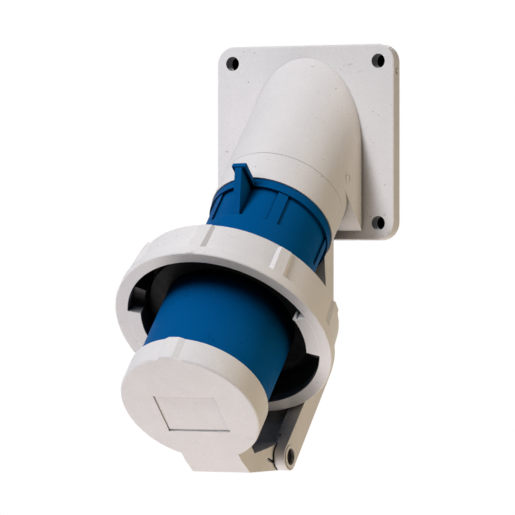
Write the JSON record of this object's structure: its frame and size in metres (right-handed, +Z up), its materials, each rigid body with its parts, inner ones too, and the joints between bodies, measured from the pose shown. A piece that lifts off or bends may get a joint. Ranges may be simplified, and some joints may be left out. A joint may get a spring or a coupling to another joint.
{
  "type": "appliance inlet",
  "caption": "Angled panel power inlet: square flange with a sloping hood, blue body and pin shroud, grey bayonet ring that turns, and a sprung hinged lid on a forked arm.",
  "frame": {"origin": "middle of the four fixing holes on the flange's back face", "axes": "+Y into the wall, +Z up, +X to the right seen from the front; the plug axis slopes down towards -Y and -Z"},
  "size_m": [0.12, 0.1743, 0.2286],
  "materials": {
    "grey_plastic": "satin moulded",
    "blue_plastic": "smooth moulded, soft gloss",
    "black_rubber": "matt",
    "dark_plastic": "fine matt",
    "contact_brass": "turned",
    "screw_steel": "zinc plated",
    "spring_steel": "drawn wire"
  },
  "bodies": {
    "base": {"flange_hood": "grey_plastic", "flange_gasket": "black_rubber", "lid_bracket": "grey_plastic", "neck_seal": "black_rubber", "rim_seal": "black_rubber", "lock_nut": "grey_plastic", "inlet_body": "blue_plastic", "ring_retainer": "dark_plastic", "coupling_seal": "black_rubber", "contact_carrier": "dark_plastic", "carrier_cover": "dark_plastic", "line_pin": "contact_brass", "neutral_pin": "contact_brass", "earth_pin": "contact_brass", "pilot_pin": "contact_brass", "terminal_screws": "screw_steel", "carrier_screws": "screw_steel", "hinge_pin": "screw_steel", "hinge_clip": "screw_steel", "lid_spring": "spring_steel"},
    "ring": {"bayonet_ring": "grey_plastic"},
    "lid": {"lid": "grey_plastic", "lid_seal": "black_rubber"}
  },
  "joints": [
    {"name": "ring_turn", "type": "hinge", "parent": "base", "child": "ring", "pos_m": [0, -0.09942, -0.09392], "axis": [0, -0.7071, -0.7071], "continuous": true},
    {"name": "lid_hinge", "type": "hinge", "parent": "base", "child": "lid", "pos_m": [0, -0.07948, -0.16803], "axis": [1, 0, 0], "range_deg": [0, 120], "stiffness_Nm_per_rad": 0.03, "springref_deg": -143.24, "deforming": ["lid_spring"]}
  ]
}
